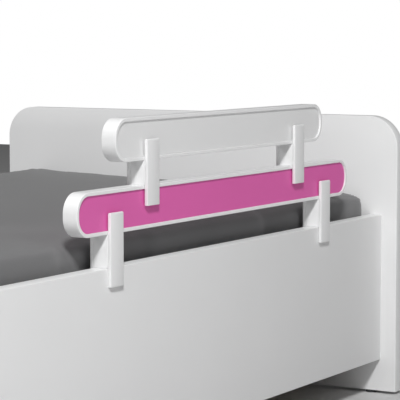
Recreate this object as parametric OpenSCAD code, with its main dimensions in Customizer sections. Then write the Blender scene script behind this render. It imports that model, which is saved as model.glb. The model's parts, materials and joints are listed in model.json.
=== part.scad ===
// Toddler bed with a two-tier guard rail that clips over its side panel.
// Millimetres, +Z up, +X towards the head end, -Y towards the side that carries the guard.
// The origin is on the floor, under the middle of the bed.

/* [Mattress] */
// Length of the mattress in its fitted sheet
mattress_l = 1400; // [1200:10:1700]
// Width of the mattress in its fitted sheet
mattress_w = 700; // [600:10:900]
// Thickness of the mattress in its fitted sheet
mattress_t = 120; // [90:5:150]
// Radius of the mattress's edges
mattress_r = 38; // [20:1:44]
// Radius of the mattress's corners in plan
mattress_corner_r = 20; // [10:5:120]
// Thickness of the fitted sheet's cloth
sheet_t = 1; // [0.6:0.1:2]
// How far the fitted sheet tucks in under the mattress
sheet_tuck = 70; // [50:5:150]

/* [Frame] */
// Thickness of the end and side panels
board_t = 23; // [16:1:30]
// Gap between the mattress and each side panel
side_gap = 7; // [7:0.5:15]
// Gap between the mattress and each end panel
end_gap = 5; // [2:1:15]
// Height of a side panel
side_h = 250; // [200:10:320]
// Height of a side panel's underside above the floor
side_clear = 60; // [30:5:120]
// How far an end panel stands out past a side panel's face
end_overhang = 28; // [10:1:60]
// How far an end panel stands up past a side panel's top edge
end_rise = 168; // [80:2:260]
// Radius of an end panel's top corners
end_corner_r = 55; // [20:5:120]
// How far the mattress's top stands above a side panel's top edge
mattress_rise = 46; // [10:2:60]

/* [Slatted base] */
// Thickness of a slat
slat_t = 14; // [10:1:20]
// Width of a slat
slat_w = 60; // [40:5:80]
// Gap between a slat's end and the side panel
slat_play = 3; // [1:1:8]
// Distance from an end panel to the nearest slat
slat_margin = 20; // [5:5:60]
// Width and height of a cleat
cleat_s = 25; // [20:1:35]
// Gap between a cleat's end and the end panel
cleat_play = 10; // [2:1:30]
// Width of a spacing tape
tape_w = 20; // [15:1:30]
// Thickness of a spacing tape
tape_t = 1; // [0.6:0.2:2]
// Distance from a side panel to the middle of a spacing tape
tape_inset = 120; // [60:10:200]

/* [Guard rails] */
// Height of a rail
rail_h = 59; // [56:1:90]
// Length of the lower rail
lower_rail_l = 776; // [650:1:1000]
// Length of the upper rail
upper_rail_l = 596; // [400:1:640]
// Radius of the corners at a rail's ends
rail_end_r = 27; // [15:1:28]
// Thickness of the bent band round a rail
band_t = 5; // [3:0.5:10]
// How far an insert sits below the band's edge
insert_recess = 2; // [0.5:0.5:4]
// Thickness of an insert
insert_t = 3; // [1:0.5:5]
// Gap between the head panel and the lower rail
rail_head_gap = 135; // [60:1:300]
// Height of the gap under the lower rail
lower_gap = 45; // [30:1:70]
// Height of the gap between the rails
upper_gap = 34; // [25:1:70]

/* [Clips] */
// Width of a clip
clip_w = 31; // [20:1:50]
// Thickness of a clip's leg
leg_t = 5; // [3:0.5:6]
// How far a leg reaches up over the rail in the clip
leg_up = 29; // [15:1:29]
// How far an upper clip's leg reaches down over the lower rail
leg_down_rail = 28; // [15:1:29]
// How far a lower clip's leg reaches down over the side panel
leg_down_panel = 25; // [15:1:60]
// Distance from a rail's end to the clip's outer edge
clip_inset = 70; // [40:5:120]
// Clearance on each side of what a clip holds
slide_gap = 0.3; // [0.2:0.05:0.6]

/* [Fittings] */
// Diameter of a cam lock
cam_d = 15; // [12:1:18]
// Distance from a side panel's end to the middle of a cam lock
cam_back = 34; // [24:1:40]
// Diameter of a cam bolt
bolt_d = 6.6; // [5:0.2:7]
// Distance from a side panel's edge to the middle of a cam lock
cam_edge = 45; // [30:5:60]
// Distance from a side panel's edge to the middle of a frame dowel
dowel_edge = 90; // [75:5:90]
// Diameter of a frame dowel
dowel_d = 8; // [6:1:10]
// Length of a frame dowel
dowel_l = 34; // [25:1:40]
// Diameter of a wood screw's shank
screw_d = 4; // [3:0.5:5]
// Diameter of a floor glide
glide_d = 18; // [12:1:22]
// Height of a floor glide
glide_h = 5; // [3:1:10]
// Distance from an end panel's edge to the middle of a floor glide
glide_inset = 50; // [25:5:120]
// Clearance round every screw, dowel and cam in its hole
fit_gap = 0.1; // [0.05:0.05:0.3]

/* [Hidden] */
$fn = 64;
SLAT_COUNT = 12;
TIERS = ["lower", "upper"];
SIDES = ["left", "right"];
RAIL_PIECES = ["band", "core", "front_insert", "back_insert"];
CLIP_PIECES = ["front_leg", "back_leg", "spacer", "pins", "screws"];
white = [0.93, 0.93, 0.93];
pink = [0.83, 0.33, 0.62];
pine = [0.86, 0.74, 0.55];
steel = [0.75, 0.76, 0.78];
sheet_grey = [0.33, 0.33, 0.34];

// Plan of the frame, which is the same on both sides of both middle planes
inner_l = mattress_l + 2 * end_gap;
inner_w = mattress_w + 2 * side_gap;
side_face_y = inner_w / 2 + board_t;
side_middle_y = side_face_y - board_t / 2;
end_middle_x = (inner_l + board_t) / 2;
end_w = 2 * (side_face_y + end_overhang);

// Heights above the floor
side_top = side_clear + side_h;
end_top = side_top + end_rise;
mattress_top = side_top + mattress_rise;
mattress_low = mattress_top - mattress_t;
slat_top = mattress_low - tape_t;
slat_low = slat_top - slat_t;
cleat_low = slat_low - cleat_s;

// Slatted base: a slat screw reaches 0.7 of the way through the cleat under it, and a cleat
// screw 0.6 of the way through the panel behind it, halfway between two slats
slat_l = inner_w - 2 * slat_play;
slat_end_x = inner_l / 2 - slat_margin;
slat_pitch = (2 * slat_end_x - slat_w) / (SLAT_COUNT - 1);
cleat_middle_y = (inner_w - cleat_s) / 2;
slat_screw_l = slat_t + 0.7 * cleat_s;
cleat_screw_l = cleat_s + 0.6 * board_t;
cleat_screw_steps = [0.5:2:SLAT_COUNT - 1];
screw_head_d = 2 * screw_d;
screw_head_h = 0.6 * screw_d;

// Cam fittings and dowels, which each go about halfway into an end panel
cam_back_wall = 1.5;
cam_depth = (board_t + bolt_d) / 2 + cam_back_wall;
cam_slot = [8, 2, 1.2];
cam_cap_t = 1;
cam_cap_lip = 1;
bolt_bite = 0.5 * board_t;
bolt_neck_d = 4;
bolt_head_l = 3;
dowel_bite = 0.55 * board_t;
hole_slack = 1;
glide_nail_d = 2.4;
glide_nail_l = 14;

// Guard: its rails stand in the same plane as the front side panel
rail_front_y = -side_face_y;
rail_middle_x = inner_l / 2 - rail_head_gap - lower_rail_l / 2;
lower_rail_low = side_top + lower_gap;
upper_rail_low = lower_rail_low + rail_h + upper_gap;
rail_corner_r = min(rail_end_r, 0.48 * rail_h);
core_t = board_t - 2 * (insert_recess + insert_t);
slot_front_y = rail_front_y - slide_gap;
slot_back_y = rail_front_y + board_t + slide_gap;
clip_pin_d = 5;
clip_pin_l = 12;
clip_pin_bite = 0.6 * leg_t;
clip_screw_l = 18;

function rail_l(tier) = tier == "lower" ? lower_rail_l : upper_rail_l;
function rail_low(tier) = tier == "lower" ? lower_rail_low : upper_rail_low;
function gap_h(tier) = tier == "lower" ? lower_gap : upper_gap;
function leg_down(tier) = tier == "lower" ? leg_down_panel : leg_down_rail;
function clip_sign(side) = side == "left" ? -1 : 1;
function clip_x(tier, side) =
    rail_middle_x + clip_sign(side) * (rail_l(tier) / 2 - clip_inset - clip_w / 2);
function slat_x(step) = step * slat_pitch + slat_w / 2 - slat_end_x;

function slat_name(i) = str("slat_", i < 10 ? "0" : "", i);
function rail_name(tier, piece) = str(tier, "_rail_", piece);
function clip_name(tier, side, piece) = str(tier, "_", side, "_clip_", piece);

// ---- shared shapes ----

module block(low, high) {
    translate(low) cube(high - low);
}

// A flat plate with round corners, with its middle at the origin
module round_plate(size, radius, thickness) {
    reach = size / 2 - radius * [1, 1];
    linear_extrude(thickness, center = true) {
        square([size.x, 2 * reach.y], center = true);
        square([2 * reach.x, size.y], center = true);
        for (x = [-1, 1], y = [-1, 1]) translate([x * reach.x, y * reach.y]) circle(radius);
    }
}

// A rod along +X from x = low to x = high
module rod(d, low, high) {
    translate([low, 0, 0]) rotate([0, 90, 0]) cylinder(d = d, h = high - low);
}

// A countersunk screw that points down, with its head's face at the origin; grow widens it
// into the hole that it needs
module screw(length, grow = 0) {
    neck_z = -screw_head_h;
    translate([0, 0, neck_z])
        cylinder(d1 = screw_d + 2 * grow, d2 = screw_head_d + 2 * grow, h = screw_head_h + grow);
    translate([0, 0, -length - grow]) cylinder(d = screw_d + 2 * grow, h = length + grow + neck_z);
}

// ---- frame ----

// Puts its children at every joint of a side panel with an end panel, at these distances from
// the side panel's edges. Local +X goes into the end panel and +Y to the inside of the bed.
module at_joints(edge) {
    for (end = [-1, 1], side = [-1, 1], height = [edge, side_h - edge])
        translate([end * inner_l / 2, side * side_middle_y, side_clear + height])
            mirror([end < 0 ? 1 : 0, 0, 0]) mirror([0, side > 0 ? 1 : 0, 0]) children();
}

// The bolt's head sits in the middle of the cam lock, behind a thinner neck
module cam_bolt() {
    neck_low = -cam_back + bolt_head_l / 2;
    neck_high = -cam_back + cam_d / 2 - hole_slack;
    rod(bolt_d, -cam_back - bolt_head_l / 2, neck_low);
    rod(bolt_neck_d, neck_low, neck_high);
    rod(bolt_d, neck_high, bolt_bite);
}

module cam_bolt_hole() {
    rod(bolt_d + 2 * fit_gap, -cam_back - bolt_head_l / 2 - hole_slack, bolt_bite + hole_slack);
}

module cam_barrel(grow = 0) {
    translate([-cam_back, board_t / 2 - cam_depth - grow, 0])
        rotate([-90, 0, 0]) cylinder(d = cam_d + 2 * grow, h = cam_depth + 2 * grow);
}

module cam_lock() {
    difference() {
        cam_barrel();
        cam_bolt_hole();
        for (turn = [0, 90])
            translate([-cam_back, board_t / 2, 0]) rotate([0, turn, 0]) cube(cam_slot, center = true);
    }
}

module cam_cap() {
    translate([-cam_back, board_t / 2, 0])
        rotate([-90, 0, 0]) cylinder(d = cam_d + 2 * cam_cap_lip, h = cam_cap_t);
}

module frame_dowel(grow = 0, slack = 0) {
    rod(dowel_d + 2 * grow, dowel_bite - dowel_l - slack, dowel_bite + slack);
}

module joint_holes() {
    at_joints(cam_edge) {
        cam_bolt_hole();
        cam_barrel(fit_gap);
    }
    at_joints(dowel_edge) frame_dowel(fit_gap, hole_slack);
}

module at_glides() {
    for (end = [-1, 1], side = [-1, 1])
        translate([end * end_middle_x, side * (end_w / 2 - glide_inset), 0]) children();
}

module floor_glide() {
    cylinder(d = glide_d, h = glide_h);
    translate([0, 0, glide_h]) cylinder(d = glide_nail_d, h = glide_nail_l);
}

module floor_glides() {
    color("dimgray") at_glides() floor_glide();
}

// A rectangle that stands on y = 0, with two round top corners
module end_outline() {
    height = end_top - glide_h;
    translate([-end_w / 2, 0]) square([end_w, height - end_corner_r]);
    translate([end_corner_r - end_w / 2, 0]) square([end_w - 2 * end_corner_r, height]);
    for (side = [-1, 1])
        translate([side * (end_w / 2 - end_corner_r), height - end_corner_r]) circle(end_corner_r);
}

module end_panel(end) {
    color(white) difference() {
        translate([end * end_middle_x - board_t / 2, 0, glide_h])
            rotate([90, 0, 90]) linear_extrude(board_t) end_outline();
        joint_holes();
        at_glides() translate([0, 0, -fit_gap])
            cylinder(d = glide_nail_d + 2 * fit_gap, h = glide_h + glide_nail_l + 2 * fit_gap);
    }
}

module head_panel() {
    end_panel(1);
}

module foot_panel() {
    end_panel(-1);
}

module side_panel(side) {
    middle = [0, side * side_middle_y, side_clear + side_h / 2];
    color(white) difference() {
        translate(middle) cube([inner_l, board_t, side_h], center = true);
        joint_holes();
        at_cleat_screws() screw(cleat_screw_l, fit_gap);
    }
}

module front_side_panel() {
    side_panel(-1);
}

module rear_side_panel() {
    side_panel(1);
}

module cam_locks() {
    color(steel) at_joints(cam_edge) cam_lock();
}

module cam_bolts() {
    color(steel) at_joints(cam_edge) cam_bolt();
}

module cam_caps() {
    color(white) at_joints(cam_edge) cam_cap();
}

module frame_dowels() {
    color(pine) at_joints(dowel_edge) frame_dowel();
}

// ---- slatted base ----

// Puts its children at each cleat screw's head, with their -Z into the side panel
module at_cleat_screws() {
    for (side = [-1, 1], step = cleat_screw_steps)
        translate([slat_x(step), side * (inner_w / 2 - cleat_s), cleat_low + cleat_s / 2])
            rotate([side * 90, 0, 0]) children();
}

module at_slat_screws() {
    for (side = [-1, 1], step = [0:SLAT_COUNT - 1])
        translate([slat_x(step), side * cleat_middle_y, slat_top]) children();
}

module cleat(side) {
    middle = [0, side * cleat_middle_y, cleat_low + cleat_s / 2];
    color(pine) difference() {
        translate(middle) cube([inner_l - 2 * cleat_play, cleat_s, cleat_s], center = true);
        at_cleat_screws() screw(cleat_screw_l, fit_gap);
        at_slat_screws() screw(slat_screw_l, fit_gap);
    }
}

module front_cleat() {
    cleat(-1);
}

module rear_cleat() {
    cleat(1);
}

module slat(i) {
    color(pine) difference() {
        translate([slat_x(i - 1), 0, slat_top - slat_t / 2])
            cube([slat_w, slat_l, slat_t], center = true);
        at_slat_screws() screw(slat_screw_l, fit_gap);
    }
}

module slat_tape(side) {
    color(white) translate([0, side * (inner_w / 2 - tape_inset), slat_top + tape_t / 2])
        cube([2 * slat_end_x, tape_w, tape_t], center = true);
}

module front_slat_tape() {
    slat_tape(-1);
}

module rear_slat_tape() {
    slat_tape(1);
}

module cleat_screws() {
    color(steel) at_cleat_screws() screw(cleat_screw_l);
}

module slat_screws() {
    color(steel) at_slat_screws() screw(slat_screw_l);
}

// ---- mattress ----

// The mattress's round-edged block, shrunk by inset on every side: what its plan, its side view
// and its end view have in common
module mattress_form(inset) {
    size = [mattress_l, mattress_w, mattress_t] - 2 * inset * [1, 1, 1];
    radius = mattress_r - inset;
    translate([0, 0, mattress_low + mattress_t / 2]) intersection() {
        round_plate([size.x, size.y], mattress_corner_r - inset, size.z);
        rotate([90, 0, 0]) round_plate([size.x, size.z], radius, size.y);
        rotate([90, 0, 90]) round_plate([size.y, size.z], radius, size.x);
    }
}

module mattress_core() {
    color("white") mattress_form(sheet_t);
}

// The sheet covers the mattress down to its underside, where it tucks in all round
module fitted_sheet() {
    opening = [mattress_l - 2 * sheet_tuck, mattress_w - 2 * sheet_tuck, 4 * sheet_t];
    color(sheet_grey) difference() {
        mattress_form(0);
        mattress_form(sheet_t);
        translate([0, 0, mattress_low]) cube(opening, center = true);
    }
}

// ---- guard rails ----

// A plate of a rail's outline, shrunk by inset on every side, from low to high behind the
// rail's front edge
module rail_plate(tier, inset, low, high) {
    size = [rail_l(tier), rail_h] - 2 * inset * [1, 1];
    translate([rail_middle_x, rail_front_y + (low + high) / 2, rail_low(tier) + rail_h / 2])
        rotate([90, 0, 0]) round_plate(size, rail_corner_r - inset, high - low);
}

module rail_band(tier) {
    color(white) difference() {
        rail_plate(tier, 0, 0, board_t);
        rail_plate(tier, band_t, -1, board_t + 1);
    }
}

module rail_core(tier) {
    color(pine) rail_plate(tier, band_t, insert_recess + insert_t, insert_recess + insert_t + core_t);
}

module rail_insert(tier, low) {
    color(tier == "lower" ? pink : white) rail_plate(tier, band_t, low, low + insert_t);
}

module rail_piece(tier, piece) {
    if (piece == "band") rail_band(tier);
    if (piece == "core") rail_core(tier);
    if (piece == "front_insert") rail_insert(tier, insert_recess);
    if (piece == "back_insert") rail_insert(tier, board_t - insert_recess - insert_t);
}

// ---- clips ----

// Puts its children at two corners of a clip's spacer, on the line from its lower left to its
// upper right when lean is 1 and across that line when lean is -1
module at_spacer_corners(tier, side, lean) {
    for (end = [-1, 1])
        translate([clip_x(tier, side) + end * lean * clip_w / 4, 0,
                   rail_low(tier) - gap_h(tier) / 2 + end * gap_h(tier) / 4])
            children();
}

module clip_pins(tier, side, grow = 0, slack = 0) {
    low = slot_front_y - clip_pin_bite - slack;
    high = slot_front_y - clip_pin_bite + clip_pin_l + slack;
    color(pine) at_spacer_corners(tier, side, 1) translate([0, low, 0])
        rotate([-90, 0, 0]) cylinder(d = clip_pin_d + 2 * grow, h = high - low);
}

module clip_screws(tier, side, grow = 0) {
    color(steel) at_spacer_corners(tier, side, -1)
        translate([0, slot_back_y + leg_t, 0]) rotate([-90, 0, 0]) screw(clip_screw_l, grow);
}

// The clip's solid from y = low to y = high, reaching this far below and above its spacer
module clip_block(tier, side, low, high, down, up) {
    x = clip_x(tier, side);
    z = rail_low(tier);
    color(white) difference() {
        block([x - clip_w / 2, low, z - gap_h(tier) - down], [x + clip_w / 2, high, z + up]);
        clip_pins(tier, side, fit_gap, fit_gap);
        clip_screws(tier, side, fit_gap);
    }
}

module clip_piece(tier, side, piece) {
    down = leg_down(tier);
    if (piece == "front_leg")
        clip_block(tier, side, slot_front_y - leg_t, slot_front_y, down, leg_up);
    if (piece == "back_leg")
        clip_block(tier, side, slot_back_y, slot_back_y + leg_t, down, leg_up);
    if (piece == "spacer") clip_block(tier, side, slot_front_y, slot_back_y, 0, 0);
    if (piece == "pins") clip_pins(tier, side);
    if (piece == "screws") clip_screws(tier, side);
}

head_panel();
foot_panel();
front_side_panel();
rear_side_panel();
front_cleat();
rear_cleat();
front_slat_tape();
rear_slat_tape();
cleat_screws();
slat_screws();
cam_locks();
cam_bolts();
cam_caps();
frame_dowels();
floor_glides();
mattress_core();
fitted_sheet();
for (i = [1:SLAT_COUNT])
    slat(i);
for (tier = TIERS, piece = RAIL_PIECES)
    rail_piece(tier, piece);
for (tier = TIERS, side = SIDES, piece = CLIP_PIECES)
    clip_piece(tier, side, piece);
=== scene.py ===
"""Toddler bed with a two-tier guard rail: the finished look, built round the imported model."""

import json
import math

import bmesh
import bpy
import numpy as np
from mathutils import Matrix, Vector
from mathutils.noise import noise


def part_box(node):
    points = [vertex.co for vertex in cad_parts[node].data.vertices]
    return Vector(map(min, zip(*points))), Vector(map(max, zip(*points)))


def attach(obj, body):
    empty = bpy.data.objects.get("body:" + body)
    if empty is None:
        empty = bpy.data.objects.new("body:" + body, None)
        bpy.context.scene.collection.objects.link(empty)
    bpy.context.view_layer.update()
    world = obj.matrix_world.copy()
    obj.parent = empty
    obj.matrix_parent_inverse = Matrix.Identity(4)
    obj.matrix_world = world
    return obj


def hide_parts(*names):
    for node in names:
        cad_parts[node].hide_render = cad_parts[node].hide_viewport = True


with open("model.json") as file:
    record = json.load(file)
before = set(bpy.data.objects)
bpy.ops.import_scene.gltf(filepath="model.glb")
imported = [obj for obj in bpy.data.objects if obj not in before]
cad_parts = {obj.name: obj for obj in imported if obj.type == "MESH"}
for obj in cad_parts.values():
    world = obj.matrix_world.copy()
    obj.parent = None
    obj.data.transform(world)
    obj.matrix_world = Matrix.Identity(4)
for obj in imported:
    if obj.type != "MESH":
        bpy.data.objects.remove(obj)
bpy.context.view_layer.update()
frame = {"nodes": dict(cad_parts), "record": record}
scene = bpy.context.scene


# ---------------------------------------------------------------- camera
# A long lens to the left of the guard's side, a little above the rails and looking down at them.
# The near end panel and the legs fall outside the picture.
CAMERA_PLACE = Vector((-2.158, -1.732, 0.624))
CAMERA_TURN = 30.90  # degrees from +X towards +Y
CAMERA_DIP = 5.24  # degrees below the horizon
CAMERA_LENS = 167.0

camera = bpy.data.objects.new("camera", bpy.data.cameras.new("camera"))
camera.data.lens = CAMERA_LENS
camera.data.sensor_width = 36.0
camera.data.clip_end = 50.0
camera.location = CAMERA_PLACE
camera.rotation_euler = (math.radians(90 - CAMERA_DIP), 0, math.radians(CAMERA_TURN - 90))
scene.collection.objects.link(camera)
scene.camera = camera


# ---------------------------------------------------------------- end panels
# Two identical boards of fibreboard with round top corners. Each is cut, its edges are eased
# with a small round-over, and it is sprayed with several coats of white satin lacquer.
PANEL_CORNER = 0.055
PANEL_EASE = 0.0016
EASE_ABOVE = math.radians(35)  # edges where the faces meet at more than this are rounded over
CRISP_ABOVE = math.radians(15)  # edges where the faces meet at more than this are shaded crisp
PARALLEL = 0.999  # least share of an edge's length that runs along its axis
NEAR = 0.001  # tells the edges on a face from the others
BOARD_WHITE = (0.82, 0.822, 0.824)


def new_finish(name, roughness):
    """A material with only its shader, and a function that adds a node to it."""
    material = bpy.data.materials.new(name)
    material.use_nodes = True
    tree = material.node_tree
    shader = tree.nodes["Principled BSDF"]
    shader.inputs["Roughness"].default_value = roughness

    def add(kind, inputs=None, **settings):
        made = tree.nodes.new(kind)
        for key, value in settings.items():
            setattr(made, key, value)
        for key, value in (inputs or {}).items():
            if isinstance(value, bpy.types.NodeSocket):
                tree.links.new(value, made.inputs[key])
            else:
                made.inputs[key].default_value = value
        return made

    def link(source, target):
        tree.links.new(source, shader.inputs[target])

    return material, shader, add, link


def tone(colour, factor):
    """A colour made lighter or darker, with its alpha."""
    return (*(min(1.0, c * factor) for c in colour), 1.0)


def lacquer(name, colour, roughness=0.36, cloud=0.02):
    """Sprayed satin lacquer: a faint cloudiness and the fine ripple that a spray gun leaves."""
    material, shader, add, link = new_finish(name, roughness)
    shader.inputs["IOR"].default_value = 1.48
    shader.inputs["Specular IOR Level"].default_value = 0.45
    place = add("ShaderNodeTexCoord").outputs["Object"]
    clouds = add("ShaderNodeTexNoise", {"Vector": place, "Scale": 7.0, "Detail": 4.0})
    blend = add("ShaderNodeMix", {"Factor": clouds.outputs["Fac"]}, data_type="RGBA")
    blend.inputs["A"].default_value = tone(colour, 1 - cloud)
    blend.inputs["B"].default_value = tone(colour, 1 + cloud)
    link(blend.outputs["Result"], "Base Color")
    sheen = add("ShaderNodeTexNoise", {"Vector": place, "Scale": 55.0, "Detail": 3.0})
    spread = {"Value": sheen.outputs["Fac"], "To Min": roughness - 0.05, "To Max": roughness + 0.05}
    link(add("ShaderNodeMapRange", spread).outputs["Result"], "Roughness")
    ripple = add("ShaderNodeTexNoise", {"Vector": place, "Scale": 420.0, "Detail": 2.0})
    peel = {"Height": ripple.outputs["Fac"], "Strength": 0.12, "Distance": 0.0002}
    link(add("ShaderNodeBump", peel).outputs["Normal"], "Normal")
    return material


def box_mesh(low, high):
    """A bmesh box between two corners."""
    solid = bmesh.new()
    bmesh.ops.create_cube(solid, size=1.0)
    bmesh.ops.scale(solid, vec=high - low, verts=solid.verts)
    bmesh.ops.translate(solid, vec=(low + high) / 2, verts=solid.verts)
    return solid


def round_over(solid, edges, radius, segments):
    bmesh.ops.bevel(solid, geom=edges, offset=radius, offset_type="OFFSET", affect="EDGES",
                    segments=segments, profile=0.5, material=-1, clamp_overlap=True)


def edges_along(solid, axis, keep=lambda middle: True):
    """The straight edges that run along an axis, and whose middle passes a test."""
    found = []
    for edge in solid.edges:
        run = edge.verts[1].co - edge.verts[0].co
        middle = (edge.verts[0].co + edge.verts[1].co) / 2
        if abs(run[axis]) > PARALLEL * run.length and keep(middle):
            found.append(edge)
    return found


def ease(solid, width, segments=3):
    """Rounds over every sharp edge."""
    sharp = [e for e in solid.edges if e.is_manifold and e.calc_face_angle() > EASE_ABOVE]
    round_over(solid, sharp, width, segments)


def finished(solid, name, material, body, stands_for, slot):
    """Turns a bmesh into a piece that rides on a body and stands for CAD nodes."""
    mesh = bpy.data.meshes.new(name)
    solid.to_mesh(mesh)
    solid.free()
    mesh.materials.append(material)
    for polygon in mesh.polygons:
        polygon.use_smooth = True
    mesh.set_sharp_from_angle(angle=CRISP_ABOVE)
    piece = bpy.data.objects.new(name, mesh)
    scene.collection.objects.link(piece)
    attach(piece, body)
    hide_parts(*stands_for)
    return piece


board_lacquer = lacquer("board_lacquer", BOARD_WHITE)
for end in ("head", "foot"):
    low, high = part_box(f"{end}_panel")
    panel = box_mesh(low, high)
    top_corners = edges_along(panel, 0, lambda middle: middle.z > high.z - NEAR)
    round_over(panel, top_corners, PANEL_CORNER, 20)
    ease(panel, PANEL_EASE)
    finished(panel, f"{end}_board", board_lacquer, "bed", [f"{end}_panel"], "white_lacquered_board")


# ---------------------------------------------------------------- side panels
# Two straight boards of the same lacquered fibreboard, which butt against the end panels.
for side in ("front", "rear"):
    low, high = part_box(f"{side}_side_panel")
    panel = box_mesh(low, high)
    ease(panel, PANEL_EASE)
    stands_for = [f"{side}_side_panel"]
    finished(panel, f"{side}_board", board_lacquer, "bed", stands_for, "white_lacquered_board")


# ---------------------------------------------------------------- cleats and slats
# Planed pine: a cleat is screwed along the inside of each side panel, and the slats lie across
# the two cleats with a countersunk screw at each end.
WOOD_LIGHT = (0.72, 0.52, 0.31)
WOOD_DARK = (0.50, 0.31, 0.15)


def planed_wood(name, along):
    """Pale planed wood with its grain along an axis (0 for X, 1 for Y)."""
    material, shader, add, link = new_finish(name, 0.55)
    stretch = [26.0, 26.0, 26.0]
    stretch[along] = 1.1
    fibre = [900.0, 900.0, 900.0]
    fibre[along] = 14.0
    place = add("ShaderNodeTexCoord").outputs["Object"]
    grain_place = add("ShaderNodeMapping", {"Vector": place, "Scale": stretch}).outputs["Vector"]
    figure = {"Vector": grain_place, "Scale": 2.2, "Detail": 5.0, "Distortion": 1.4}
    grain = add("ShaderNodeTexNoise", figure)
    rings = add("ShaderNodeMath", {0: grain.outputs["Fac"], 1: 34.0}, operation="MULTIPLY")
    bands = add("ShaderNodeMath", {0: rings.outputs[0]}, operation="SINE")
    share = add("ShaderNodeMapRange", {"Value": bands.outputs[0], "From Min": -1.0})
    blend = add("ShaderNodeMix", {"Factor": share.outputs["Result"]}, data_type="RGBA")
    blend.inputs["A"].default_value = (*WOOD_LIGHT, 1)
    blend.inputs["B"].default_value = tone(WOOD_LIGHT, 0.80)
    fibre_place = add("ShaderNodeMapping", {"Vector": place, "Scale": fibre}).outputs["Vector"]
    fibres = add("ShaderNodeTexNoise", {"Vector": fibre_place, "Scale": 1.0, "Detail": 3.0})
    streak = {"Value": fibres.outputs["Fac"], "From Min": 0.45, "From Max": 0.8, "To Max": 0.35}
    streaks = add("ShaderNodeMapRange", streak).outputs["Result"]
    wood = add("ShaderNodeMix", {"Factor": streaks}, data_type="RGBA")
    wood.inputs["B"].default_value = (*WOOD_DARK, 1)
    material.node_tree.links.new(blend.outputs["Result"], wood.inputs["A"])
    link(wood.outputs["Result"], "Base Color")
    relief = {"Height": fibres.outputs["Fac"], "Strength": 0.25, "Distance": 0.0003}
    link(add("ShaderNodeBump", relief).outputs["Normal"], "Normal")
    return material


def dress(material, *nodes):
    """Gives CAD nodes a finish."""
    for name in nodes:
        for holder in frame["nodes"][name].material_slots:
            holder.material = material


dress(planed_wood("pine_along_bed", 0), "front_cleat", "rear_cleat")
slats = sorted(n for n in frame["nodes"] if n.startswith("slat_") and n != "slat_screws")
dress(planed_wood("pine_across_bed", 1), *slats)


# ---------------------------------------------------------------- spacing tapes
# Two lengths of off-white polyester webbing that run over the slats and keep them evenly spaced.
WEBBING = (0.70, 0.69, 0.64)
WEBBING_PICK = 0.0022


def webbing(name, colour, pick):
    """A plain weave: two sets of ridges, pick metres apart, that cross at right angles, with painted shade
    darkening the low points of the weave.
    """
    material, shader, add, link = new_finish(name, 0.85)
    place = add("ShaderNodeTexCoord").outputs["Object"]
    parts = add("ShaderNodeSeparateXYZ", {"Vector": place})
    ridges = []
    for axis in ("X", "Y"):
        scaled = {0: parts.outputs[axis], 1: math.tau / pick}
        turn = add("ShaderNodeMath", scaled, operation="MULTIPLY")
        ridges.append(add("ShaderNodeMath", {0: turn.outputs[0]}, operation="SINE"))
    crossing = {0: ridges[0].outputs[0], 1: ridges[1].outputs[0]}
    weave = add("ShaderNodeMath", crossing, operation="MULTIPLY")
    share = add("ShaderNodeMapRange", {"Value": weave.outputs[0], "From Min": -1.0})
    # Painted shade: the colour is darker where the weave's relief is low and lighter on its raised points.
    blend = add("ShaderNodeMix", {"Factor": share.outputs["Result"]}, data_type="RGBA")
    blend.inputs["A"].default_value = tone(colour, 0.72)
    blend.inputs["B"].default_value = tone(colour, 1.05)
    link(blend.outputs["Result"], "Base Color")
    relief = {"Height": share.outputs["Result"], "Strength": 0.6, "Distance": 0.0004}
    link(add("ShaderNodeBump", relief).outputs["Normal"], "Normal")
    return material


dress(webbing("tape_weave", WEBBING, WEBBING_PICK), "front_slat_tape", "rear_slat_tape")


# ---------------------------------------------------------------- fittings
# Zinc-plated wood screws and cam bolts, die-cast cam locks, fluted beech dowels, and the white
# plastic caps that hide the cam locks on the inside of the side panels.
STEEL = (0.66, 0.66, 0.67)
ZINC = (0.58, 0.58, 0.57)
CAP_WHITE = (0.80, 0.80, 0.79)


def metal(name, colour, roughness, speckle):
    """Plated or cast metal with a fine mottled finish."""
    material, shader, add, link = new_finish(name, roughness)
    shader.inputs["Metallic"].default_value = 1.0
    place = add("ShaderNodeTexCoord").outputs["Object"]
    mottle = add("ShaderNodeTexNoise", {"Vector": place, "Scale": speckle, "Detail": 4.0})
    blend = add("ShaderNodeMix", {"Factor": mottle.outputs["Fac"]}, data_type="RGBA")
    blend.inputs["A"].default_value = tone(colour, 0.8)
    blend.inputs["B"].default_value = tone(colour, 1.15)
    link(blend.outputs["Result"], "Base Color")
    relief = {"Height": mottle.outputs["Fac"], "Strength": 0.2, "Distance": 0.0002}
    link(add("ShaderNodeBump", relief).outputs["Normal"], "Normal")
    return material


def moulded_plastic(name, colour, roughness):
    """Injection-moulded plastic with a fine spark-eroded texture."""
    material, shader, add, link = new_finish(name, roughness)
    place = add("ShaderNodeTexCoord").outputs["Object"]
    grain = add("ShaderNodeTexNoise", {"Vector": place, "Scale": 1500.0, "Detail": 2.0})
    blend = add("ShaderNodeMix", {"Factor": grain.outputs["Fac"]}, data_type="RGBA")
    blend.inputs["A"].default_value = tone(colour, 0.94)
    blend.inputs["B"].default_value = tone(colour, 1.04)
    link(blend.outputs["Result"], "Base Color")
    relief = {"Height": grain.outputs["Fac"], "Strength": 0.25, "Distance": 0.0001}
    link(add("ShaderNodeBump", relief).outputs["Normal"], "Normal")
    return material


steel = metal("plated_steel", STEEL, 0.32, 900.0)
dress(steel, "cleat_screws", "slat_screws", "cam_bolts")
dress(metal("die_cast_zinc", ZINC, 0.45, 500.0), "cam_locks")
dress(moulded_plastic("cap_plastic", CAP_WHITE, 0.42), "cam_caps")
beech = planed_wood("beech", 0)
dress(beech, "frame_dowels")


# ---------------------------------------------------------------- floor glides
# A black polyethylene disc with a nail, knocked into the bottom edge near each panel's end.
GLIDE_BLACK = (0.035, 0.035, 0.038)

dress(moulded_plastic("glide_plastic", GLIDE_BLACK, 0.5), "floor_glides")


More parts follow.
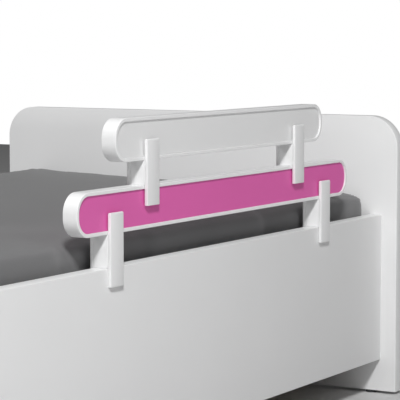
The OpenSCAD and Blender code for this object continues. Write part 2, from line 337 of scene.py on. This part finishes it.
# ---------------------------------------------------------------- guard rails
# Each rail is a plywood core with an insert on either face, in a band of bent white laminate
# that stands a little proud all round. The lower inserts are magenta and the upper ones white.
RAIL_CORNER = 0.027
BAND_THICK = 0.005
BAND_EASE = 0.0009
INSERT_EASE = 0.0005
BAND_WHITE = (0.88, 0.882, 0.884)
MAGENTA = (0.77, 0.137, 0.44)
UPPER_WHITE = (0.84, 0.842, 0.844)

band_lacquer = lacquer("band_lacquer", BAND_WHITE, 0.34)
insert_lacquer = {
    "lower": lacquer("magenta_lacquer", MAGENTA, 0.42, 0.035),
    "upper": lacquer("insert_lacquer", UPPER_WHITE, 0.42),
}
insert_slot = {"lower": "magenta_insert", "upper": "white_insert"}
dress(planed_wood("core_plywood", 0), "lower_rail_core", "upper_rail_core")

for tier in ("lower", "upper"):
    low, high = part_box(f"{tier}_rail_band")
    band = box_mesh(low, high)
    round_over(band, edges_along(band, 1), RAIL_CORNER, 16)
    faces = [f for f in band.faces if abs(f.normal.y) > 0.9]
    inner = bmesh.ops.inset_individual(band, faces=faces, thickness=BAND_THICK, use_even_offset=True)
    openings = [f for f in band.faces if abs(f.normal.y) > 0.9 and f not in inner["faces"]]
    rims = [e for f in openings for e in f.edges]
    bmesh.ops.delete(band, geom=openings, context="FACES_ONLY")
    bmesh.ops.bridge_loops(band, edges=rims)
    bmesh.ops.recalc_face_normals(band, faces=band.faces)
    ease(band, BAND_EASE)
    body = f"{tier}_rail"
    finished(band, f"{tier}_band", band_lacquer, body, [f"{tier}_rail_band"], "white_lacquered_wood")
    for face in ("front", "back"):
        low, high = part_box(f"{tier}_rail_{face}_insert")
        plate = box_mesh(low, high)
        round_over(plate, edges_along(plate, 1), RAIL_CORNER - BAND_THICK, 16)
        ease(plate, INSERT_EASE, 2)
        stands_for = [f"{tier}_rail_{face}_insert"]
        finished(plate, f"{tier}_{face}_plate", insert_lacquer[tier], body, stands_for, insert_slot[tier])


# ---------------------------------------------------------------- clips
# Each clip is a beech H in white lacquer: two flat legs on a spacer block, glued with pins at
# the front and screwed from the back, so that it straddles one board below and one above.
LEG_TOP_ROUND = 0.0022
LEG_EASE = 0.0010
CLIP_WHITE = (0.85, 0.852, 0.854)

clip_lacquer = lacquer("clip_lacquer", CLIP_WHITE, 0.36)
for tier in ("lower", "upper"):
    for side in ("left", "right"):
        clip = f"{tier}_{side}_clip"
        for part in ("front_leg", "back_leg", "spacer"):
            low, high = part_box(f"{clip}_{part}")
            block = box_mesh(low, high)
            if part != "spacer":
                top_edges = edges_along(block, 0, lambda middle: middle.z > high.z - NEAR)
                round_over(block, top_edges, LEG_TOP_ROUND, 5)
            ease(block, LEG_EASE)
            stands_for = [f"{clip}_{part}"]
            finished(block, f"{clip}_{part}_block", clip_lacquer, clip, stands_for, "white_lacquered_wood")
        dress(beech, f"{clip}_pins")
        dress(steel, f"{clip}_screws")


# ---------------------------------------------------------------- mattress
# A foam core in a quilted cotton cover, puffed a little by the foam's push against the cover.
# It lies flat on the slats, and its top slopes down gently towards the guard's side.
MATTRESS_CORNER = 0.012
MATTRESS_EDGE = 0.034
SHOULDER_DROP = 0.006  # the swelling makes up for this
END_SWELL = 0.0030  # into the gap at each end panel
HEM_ROOM = 0.0014  # for the sheet's hem, between the mattress and the slat tapes
CROWN = 0.007
TOP_SLOPE = 0.009  # how far the top stands up at the rear and dips at the guard's side
SIDE_SWELL = 0.0050  # into the gap at each side panel
TRACK_ROOM = 0.010  # kept clear beyond each end of a clip's travel
TRACK_BLEND = 0.030
VOXEL = 0.008
PUFF_FRAMES = 20
PUFF_PRESSURE = 4.0
QUILT_PITCH = 0.06
COVER_WHITE = (0.78, 0.78, 0.75)

mattress_low, mattress_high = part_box("mattress_core")


def clip_track(clip):
    """The stretch along the bed in which a clip's back leg can stand."""
    low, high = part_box(f"{clip}_back_leg")
    joint = next(j for j in frame["record"]["behaviour"]["joints"] if j["child"] == clip)
    back, forth = joint["range_m"]
    return low.x + back - TRACK_ROOM, high.x + forth + TRACK_ROOM


clip_tracks = [clip_track(f"lower_{side}_clip") for side in ("left", "right")]


def cover_cloth(name, colour):
    """Quilted cotton ticking, pulled in along a diamond of stitched channels, with painted shade darkening
    the channels.
    """
    material, shader, add, link = new_finish(name, 0.9)
    shader.inputs["Sheen Weight"].default_value = 0.2
    place = add("ShaderNodeTexCoord").outputs["Object"]
    parts = add("ShaderNodeSeparateXYZ", {"Vector": place})
    turn = math.tau / QUILT_PITCH
    lines = []
    for sign in (1, -1):
        lean = add("ShaderNodeMath", {0: parts.outputs["X"], 1: sign * turn}, operation="MULTIPLY")
        leaning = {0: parts.outputs["Y"], 1: turn, 2: lean.outputs[0]}
        both = add("ShaderNodeMath", leaning, operation="MULTIPLY_ADD")
        wave = add("ShaderNodeMath", {0: both.outputs[0]}, operation="SINE")
        lines.append(add("ShaderNodeMath", {0: wave.outputs[0]}, operation="ABSOLUTE"))
    channels = {0: lines[0].outputs[0], 1: lines[1].outputs[0]}
    quilt = add("ShaderNodeMath", channels, operation="MINIMUM")
    puff_and_painted_shade = add("ShaderNodeMath", {0: quilt.outputs[0], 1: 0.35}, operation="POWER")
    # Painted shade: the cover's colour is darker along the pulled-in channels and lighter on the raised
    # cloth between them.
    blend = add("ShaderNodeMix", {"Factor": puff_and_painted_shade.outputs[0]}, data_type="RGBA")
    blend.inputs["A"].default_value = tone(colour, 0.8)
    blend.inputs["B"].default_value = tone(colour, 1.0)
    link(blend.outputs["Result"], "Base Color")
    relief = {"Height": puff_and_painted_shade.outputs[0], "Strength": 0.8, "Distance": 0.003}
    link(add("ShaderNodeBump", relief).outputs["Normal"], "Normal")
    return material


def clear_of_clips(x, y):
    """1 where no clip can come between the mattress and a side panel, falling to 0 where one can."""
    away = min(max(low - x, x - high) for low, high in clip_tracks)
    share = max(0.0, min(1.0, away / TRACK_BLEND)) if y < 0 else 1.0
    return share * share * (3 - 2 * share)


def puffed(start, pressure, cap):
    """Swells a closed mesh with cloth simulation, and returns its points, moved at most cap."""
    before = np.empty(len(start.data.vertices) * 3)
    start.data.vertices.foreach_get("co", before)
    before = before.reshape(-1, 3)
    cloth = start.modifiers.new("cloth", "CLOTH")
    settings = cloth.settings
    settings.use_pressure = True
    settings.uniform_pressure_force = pressure
    settings.effector_weights.gravity = 0.0
    settings.quality = 4
    settings.tension_stiffness = 25.0
    settings.bending_stiffness = 3.0
    cloth.point_cache.frame_start = 1
    cloth.point_cache.frame_end = PUFF_FRAMES
    for step in range(1, PUFF_FRAMES + 1):
        scene.frame_set(step)
    moved = start.evaluated_get(bpy.context.evaluated_depsgraph_get()).to_mesh()
    after = np.empty(before.size)
    moved.vertices.foreach_get("co", after)
    start.modifiers.remove(cloth)
    scene.frame_set(1)
    step_out = after.reshape(-1, 3) - before
    reach = np.linalg.norm(step_out, axis=1, keepdims=True)
    return before + step_out * np.minimum(1.0, cap / np.maximum(reach, 1e-9))


def remeshed(source, name, voxel):
    """An even mesh of a bmesh, which is used up."""
    mesh = bpy.data.meshes.new(name)
    source.to_mesh(mesh)
    source.free()
    lump = bpy.data.objects.new(name, mesh)
    scene.collection.objects.link(lump)
    even = lump.modifiers.new("even", "REMESH")
    even.mode = "VOXEL"
    even.voxel_size = voxel
    graph = bpy.context.evaluated_depsgraph_get()
    shown = bpy.data.meshes.new_from_object(lump.evaluated_get(graph))
    lump.modifiers.remove(even)
    lump.data = shown
    bpy.data.meshes.remove(mesh)
    return lump


def smoothed(solid, verts, sweeps):
    """Moves points of a bmesh halfway to the middle of their neighbours, several times."""
    for sweep in range(sweeps):
        bmesh.ops.smooth_vert(solid, verts=verts, factor=0.5,
                              use_axis_x=True, use_axis_y=True, use_axis_z=True)


underside = mattress_low.z + HEM_ROOM
start_low = Vector((mattress_low.x - END_SWELL, mattress_low.y, underside))
start_high = mattress_high + Vector((END_SWELL, 0, -SHOULDER_DROP))
block = box_mesh(start_low, start_high)
round_over(block, edges_along(block, 2), MATTRESS_CORNER, 4)
ease(block, MATTRESS_EDGE, 7)
mattress = remeshed(block, "mattress", VOXEL)
points = puffed(mattress, PUFF_PRESSURE, CROWN)
# The slats hold the underside flat and the frame holds the sides in
points[:, 0] = np.clip(points[:, 0], start_low.x, start_high.x)
points[:, 1] = np.clip(points[:, 1], mattress_low.y, mattress_high.y)
points[:, 2] = np.maximum(points[:, 2], underside)
side_share = np.array([clear_of_clips(x, y) for x, y, z in points])
points[:, 1] *= 1 + side_share * SIDE_SWELL / mattress_high.y
height_share = (points[:, 2] - mattress_low.z) / (mattress_high.z - mattress_low.z)
points[:, 2] += TOP_SLOPE * height_share * points[:, 1] / mattress_high.y
mattress.data.vertices.foreach_set("co", points.ravel())
soft = bmesh.new()
soft.from_mesh(mattress.data)
smoothed(soft, soft.verts, 2)
soft.to_mesh(mattress.data)
soft.free()
for polygon in mattress.data.polygons:
    polygon.use_smooth = True
mattress.data.materials.clear()
mattress.data.materials.append(cover_cloth("cotton_ticking", COVER_WHITE))
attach(mattress, "mattress")
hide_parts("mattress_core")


# ---------------------------------------------------------------- fitted sheet
# A cotton jersey sheet with gathered corners, stretched over the mattress and held under it by
# the elastic in its hem.
SHEET_THICK = 0.0008
SHEET_CLEAR = 0.0003
SHEET_TUCK = 0.070
LEG_CLEAR = 0.0004  # from the sheet to a clip's back leg
PANEL_CLEAR = 0.0007  # from the sheet to a side panel
HEM_BAND = 0.012  # how far above the mattress's underside the hem's cut reaches
CREASE_HIGH = 0.0016
CREASE_FADE = 0.13  # how far from the corner the creases are down to a third
CREASE_WAVES = 21  # their crowding round the corner
CREASE_LOW = 0.02  # no crease lower than this above the underside
UNEVEN_HIGH = 0.0009
COLUMN_PITCH = 0.0016  # the knit's stitches across and along
ROW_PITCH = 0.0012
JERSEY_GREY = (0.146, 0.146, 0.149)


def jersey(name, colour):
    """Single jersey: fine columns of stitches, a soft bloom, and slight unevenness in the dye."""
    material, shader, add, link = new_finish(name, 0.92)
    shader.inputs["Sheen Weight"].default_value = 0.35
    shader.inputs["Sheen Roughness"].default_value = 0.5
    shader.inputs["Specular IOR Level"].default_value = 0.2
    place = add("ShaderNodeTexCoord").outputs["Object"]
    flat = add("ShaderNodeUVMap", uv_map="cloth").outputs["UV"]
    parts = add("ShaderNodeSeparateXYZ", {"Vector": flat})
    waves = []
    for axis, pitch in (("X", COLUMN_PITCH), ("Y", ROW_PITCH)):
        scaled = {0: parts.outputs[axis], 1: math.tau / pitch}
        turn = add("ShaderNodeMath", scaled, operation="MULTIPLY")
        waves.append(add("ShaderNodeMath", {0: turn.outputs[0]}, operation="SINE"))
    stitches = {0: waves[0].outputs[0], 1: waves[1].outputs[0]}
    knit = add("ShaderNodeMath", stitches, operation="ADD")
    dye = add("ShaderNodeTexNoise", {"Vector": place, "Scale": 5.0, "Detail": 5.0})
    fuzz = add("ShaderNodeTexNoise", {"Vector": place, "Scale": 700.0, "Detail": 3.0})
    mixed = add("ShaderNodeMath", {0: dye.outputs["Fac"], 1: fuzz.outputs["Fac"]}, operation="ADD")
    spread = {"Value": mixed.outputs[0], "From Min": 0.6, "From Max": 1.4}
    share = add("ShaderNodeMapRange", spread)
    blend = add("ShaderNodeMix", {"Factor": share.outputs["Result"]}, data_type="RGBA")
    blend.inputs["A"].default_value = tone(colour, 0.93)
    blend.inputs["B"].default_value = tone(colour, 1.07)
    link(blend.outputs["Result"], "Base Color")
    relief = {"Height": knit.outputs[0], "Strength": 0.25, "Distance": 0.0003}
    link(add("ShaderNodeBump", relief).outputs["Normal"], "Normal")
    return material


cloth_form = bmesh.new()
cloth_form.from_mesh(mattress.data)
cloth_form.normal_update()
for vert in cloth_form.verts:
    vert.co += vert.normal * (SHEET_THICK + SHEET_CLEAR)
under = [f for f in cloth_form.faces
         if f.calc_center_median().z < mattress_low.z + HEM_BAND
         and abs(f.calc_center_median().x) < mattress_high.x - SHEET_TUCK
         and abs(f.calc_center_median().y) < mattress_high.y - SHEET_TUCK]
bmesh.ops.delete(cloth_form, geom=under, context="FACES")
bmesh.ops.subdivide_edges(cloth_form, edges=cloth_form.edges, cuts=1, use_grid_fill=True)
smoothed(cloth_form, [v for v in cloth_form.verts if not v.is_boundary], 2)

# Soft creases that fan out from each corner and die away along the top and sides
cloth_form.normal_update()
for vert in cloth_form.verts:
    corner_x = math.copysign(mattress_high.x, vert.co.x)
    corner_y = math.copysign(mattress_high.y, vert.co.y)
    away = Vector((vert.co.x, vert.co.y, 0)) - Vector((corner_x, corner_y, 0))
    turn = math.atan2(abs(away.y), abs(away.x))
    fade = math.exp(-away.length / CREASE_FADE)
    fold = 0.5 + 0.5 * math.sin(turn * CREASE_WAVES + 3 * noise(vert.co * 9))
    drift = 0.5 + 0.5 * noise(Vector((vert.co.x * 5, vert.co.y * 7, 3.1)))
    if vert.co.z > mattress_low.z + CREASE_LOW:
        vert.co += vert.normal * (CREASE_HIGH * fade * fold + UNEVEN_HIGH * drift)

layers = cloth_form.loops.layers.uv.new("cloth")
for face in cloth_form.faces:
    axis = max(range(3), key=lambda i: abs(face.normal[i]))
    across = [i for i in range(3) if i != axis]
    for loop in face.loops:
        loop[layers].uv = (loop.vert.co[across[0]], loop.vert.co[across[1]])
leg_reach = -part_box("lower_left_clip_back_leg")[1].y - LEG_CLEAR
panel_reach = -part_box("front_side_panel")[1].y - PANEL_CLEAR
for vert in cloth_form.verts:
    reach = leg_reach + clear_of_clips(vert.co.x, vert.co.y) * (panel_reach - leg_reach)
    vert.co.y = max(-reach, min(reach, vert.co.y))
sheet_mesh = bpy.data.meshes.new("grey_sheet")
cloth_form.to_mesh(sheet_mesh)
cloth_form.free()
for polygon in sheet_mesh.polygons:
    polygon.use_smooth = True
sheet_mesh.materials.append(jersey("grey_jersey_knit", JERSEY_GREY))
grey_sheet = bpy.data.objects.new("grey_sheet", sheet_mesh)
scene.collection.objects.link(grey_sheet)
wall = grey_sheet.modifiers.new("thickness", "SOLIDIFY")
wall.thickness = SHEET_THICK
wall.offset = -1.0
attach(grey_sheet, "mattress")
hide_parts("fitted_sheet")


# ---------------------------------------------------------------- floor, light and backdrop
# A pale floor under an even white surround. A round softbox high up to the left of the guard's
# side is the key, with weaker ones beyond the foot end, in front, low in front and overhead.
FLOOR_HALF = 6.0
FLOOR_WHITE = (0.66, 0.66, 0.66)
SURROUND = 0.10
SOFTBOXES = (
    # name, place, what it points at, diameter, watts
    ("key", Vector((-3.42, -2.56, 3.99)), Vector((-0.10, -0.37, 0.37)), 0.78, 236.0),
    ("foot_fill", Vector((-4.50, -0.60, 1.40)), Vector((0.30, -0.10, 0.40)), 2.4, 10.0),
    ("front_fill", Vector((-0.30, -4.20, 2.60)), Vector((0.10, -0.37, 0.30)), 1.6, 17.0),
    ("low_fill", Vector((0.40, -3.20, 0.30)), Vector((0.10, -0.37, 0.33)), 1.0, 2.5),
    ("top_fill", Vector((-1.30, 1.30, 3.40)), Vector((0.10, 0.20, 0.30)), 2.0, 34.0),
)

ground = bmesh.new()
bmesh.ops.create_grid(ground, x_segments=1, y_segments=1, size=FLOOR_HALF)
floor_mesh = bpy.data.meshes.new("floor")
ground.to_mesh(floor_mesh)
ground.free()
floor_mesh.materials.append(lacquer("floor_paint", FLOOR_WHITE, 0.6))
floor = bpy.data.objects.new("floor", floor_mesh)
scene.collection.objects.link(floor)

for name, place, target, size, power in SOFTBOXES:
    light = bpy.data.objects.new(name, bpy.data.lights.new(name, "AREA"))
    light.data.shape = "DISK"
    light.data.size = size
    light.data.energy = power
    light.location = place
    light.rotation_mode = "QUATERNION"
    light.rotation_quaternion = (target - place).to_track_quat("-Z", "Y")
    scene.collection.objects.link(light)

world = bpy.data.worlds.new("surround")
world.use_nodes = True
scene.world = world
sky = world.node_tree.nodes["Background"]
sky.inputs["Color"].default_value = (1, 1, 1, 1)
seen = world.node_tree.nodes.new("ShaderNodeLightPath")
brightness = world.node_tree.nodes.new("ShaderNodeMapRange")
brightness.inputs["To Min"].default_value = SURROUND
brightness.inputs["To Max"].default_value = 1.0
world.node_tree.links.new(seen.outputs["Is Camera Ray"], brightness.inputs["Value"])
world.node_tree.links.new(brightness.outputs["Result"], sky.inputs["Strength"])
scene.view_settings.view_transform = "Standard"
